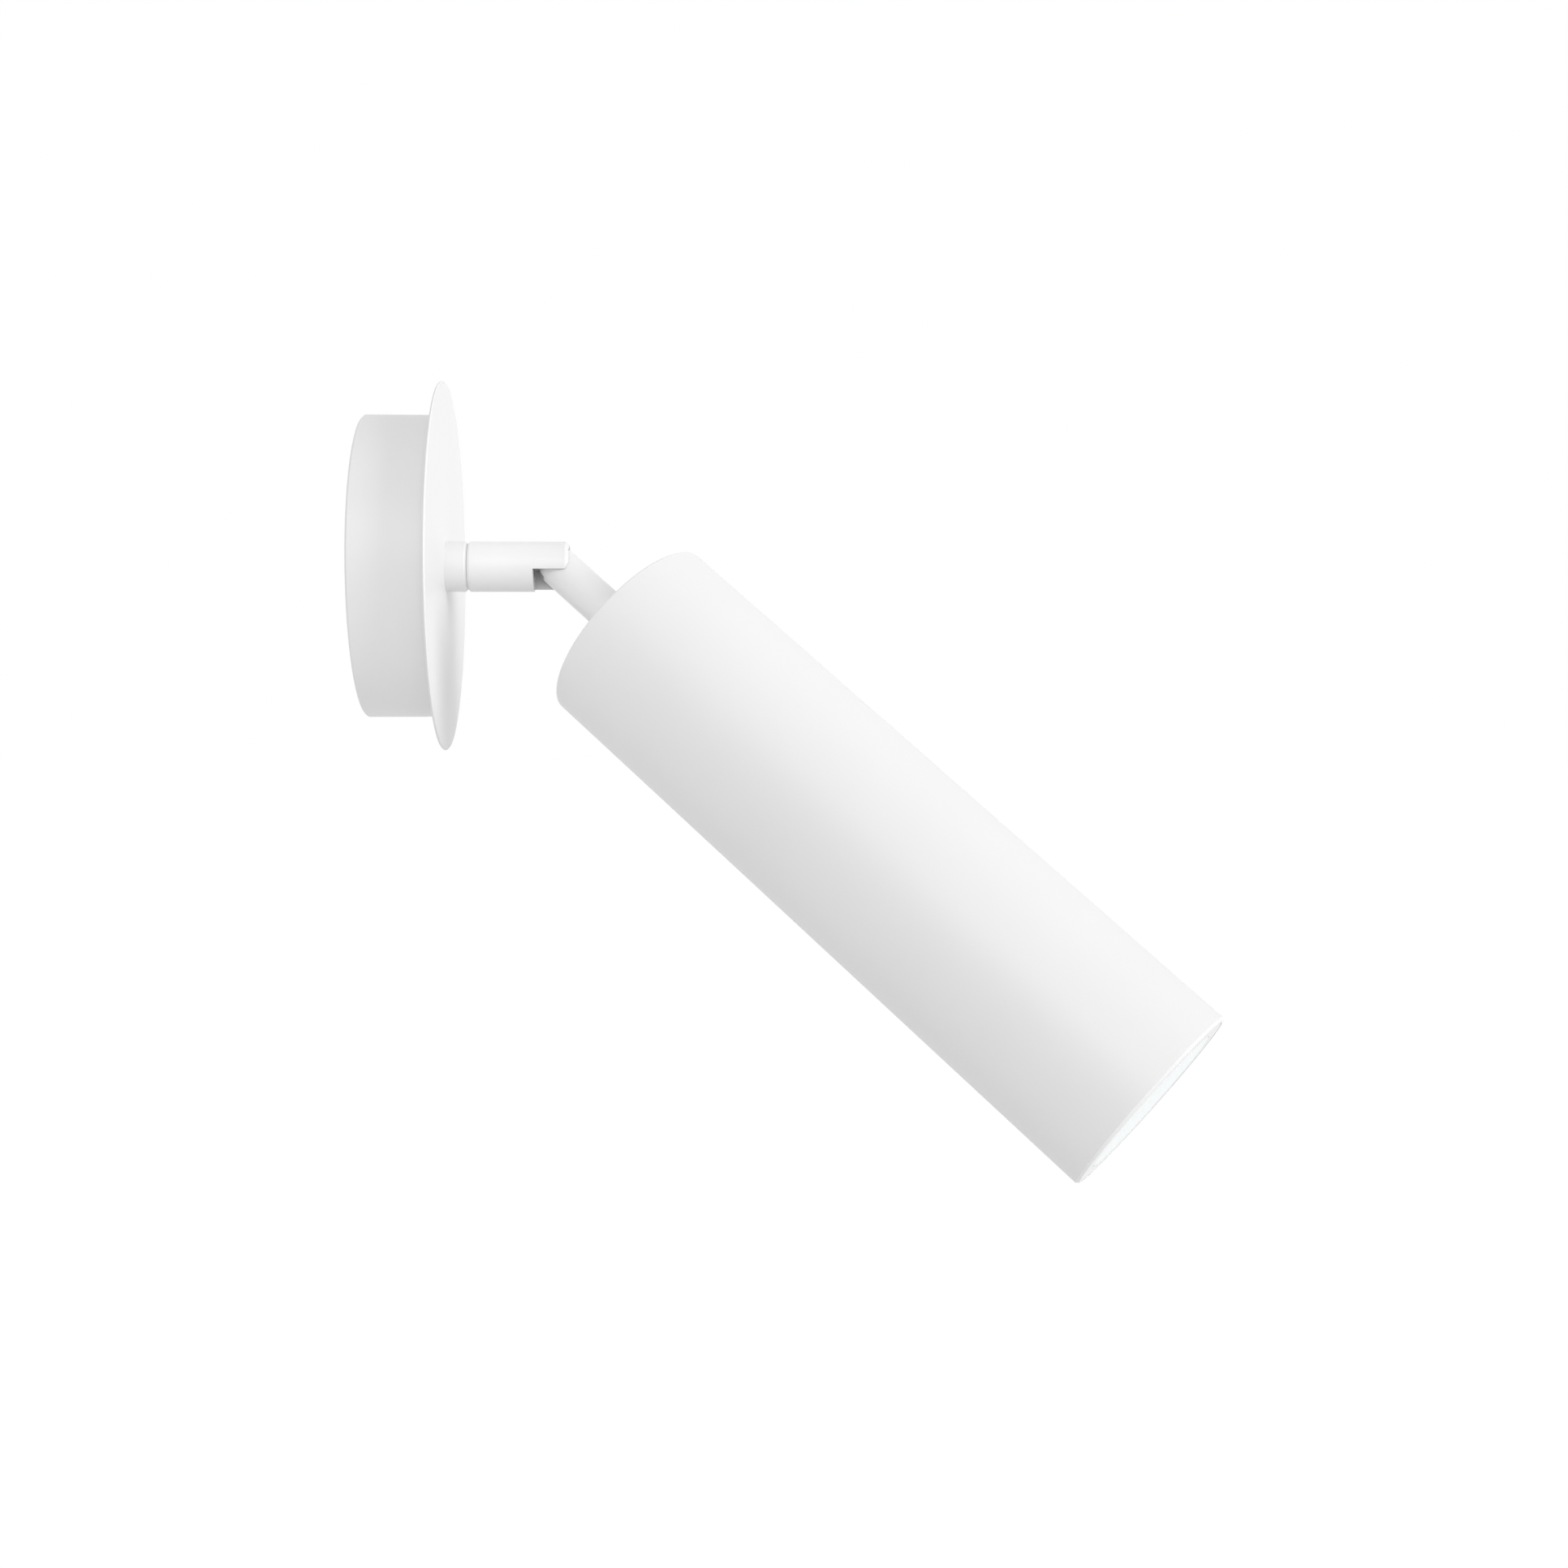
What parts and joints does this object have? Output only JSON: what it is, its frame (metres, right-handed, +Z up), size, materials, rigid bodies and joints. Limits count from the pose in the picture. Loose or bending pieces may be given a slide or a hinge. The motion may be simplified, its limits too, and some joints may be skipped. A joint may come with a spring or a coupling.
{
  "type": "wall spotlight",
  "caption": "Spotlight wall light: a long cylinder head tilts in a forked neck that swivels on a round wall box with a thin, wider cover disc. White, with a reflector lamp.",
  "frame": {"origin": "middle of the wall box's back face, on the wall and on the neck's swivel axis", "axes": "+X out of the wall along the neck, +Z up, +Y to the right for someone who looks at the light with the wall on their left"},
  "size_m": [0.2411, 0.1587, 0.2272],
  "materials": {
    "box_coat": "satin white powder coat",
    "cover_coat": "satin white powder coat",
    "collar_coat": "satin white powder coat",
    "fork_coat": "satin white powder coat",
    "arm_coat": "satin white powder coat",
    "cap_coat": "satin white powder coat",
    "tube_coat": "satin white powder coat",
    "ring_coat": "satin white powder coat",
    "zinc_steel": "bright zinc plated",
    "bracket_steel": "zinc plated sheet",
    "brass": "plain brass",
    "tag_metal": "tinned brass",
    "pin_metal": "nickel plated",
    "strip_plastic": "moulded, slightly translucent white",
    "washer_plastic": "natural nylon",
    "bush_rubber": "matt black",
    "live_lead": "brown silicone rubber sleeve",
    "neutral_lead": "blue silicone rubber sleeve",
    "earth_lead": "green and yellow sleeve",
    "holder_ceramic": "unglazed white ceramic",
    "lamp_ceramic": "unglazed white ceramic",
    "lamp_mirror": "mirror-coated glass",
    "lamp_glass": "clear pressed glass",
    "lamp_phosphor": "phosphor-coated light source"
  },
  "bodies": {
    "wall_part": {"wall_box": "box_coat", "cable_bush": "bush_rubber", "terminal_strip": "strip_plastic", "terminal_inserts": "brass", "terminal_screws": "zinc_steel", "strip_screw": "zinc_steel", "base_earth_tag": "tag_metal", "base_earth_washer": "zinc_steel", "base_earth_screw": "zinc_steel", "cover_disc": "cover_coat", "cover_screws": "zinc_steel", "neck_collar": "collar_coat", "collar_washer": "zinc_steel", "collar_nut": "zinc_steel", "base_live_lead": "live_lead", "base_neutral_lead": "neutral_lead", "base_earth_lead": "earth_lead"},
    "swivel_part": {"fork": "fork_coat", "stop_pin": "zinc_steel", "swivel_washer": "zinc_steel", "swivel_spring_washer": "zinc_steel", "stem_nut": "zinc_steel", "pivot_screw": "zinc_steel", "fork_live_lead": "live_lead", "fork_neutral_lead": "neutral_lead", "fork_earth_lead": "earth_lead"},
    "head_part": {"arm": "arm_coat", "pivot_washers": "washer_plastic", "arm_washer": "zinc_steel", "arm_nut": "zinc_steel", "rear_cap": "cap_coat", "head_tube": "tube_coat", "cap_screws": "zinc_steel", "front_ring": "ring_coat", "lamp_reflector": "lamp_mirror", "lamp_lens": "lamp_glass", "lamp_emitter": "lamp_phosphor", "lamp_base": "lamp_ceramic", "lamp_pins": "pin_metal", "lampholder": "holder_ceramic", "holder_contacts": "brass", "holder_bracket": "bracket_steel", "bracket_screws": "zinc_steel", "holder_screws": "zinc_steel", "head_earth_tag": "tag_metal", "head_earth_screw": "zinc_steel", "head_live_lead": "live_lead", "head_neutral_lead": "neutral_lead", "head_earth_lead": "earth_lead"}
  },
  "joints": [
    {"name": "swivel", "type": "hinge", "parent": "wall_part", "child": "swivel_part", "pos_m": [0, 0, 0], "axis": [1, 0, 0], "range_deg": [-143.2, 196.8]},
    {"name": "tilt", "type": "hinge", "parent": "swivel_part", "child": "head_part", "pos_m": [0.0567, 0, 0], "axis": [0, 0.8926, -0.4509], "range_deg": [-45.7, 44.3]}
  ]
}
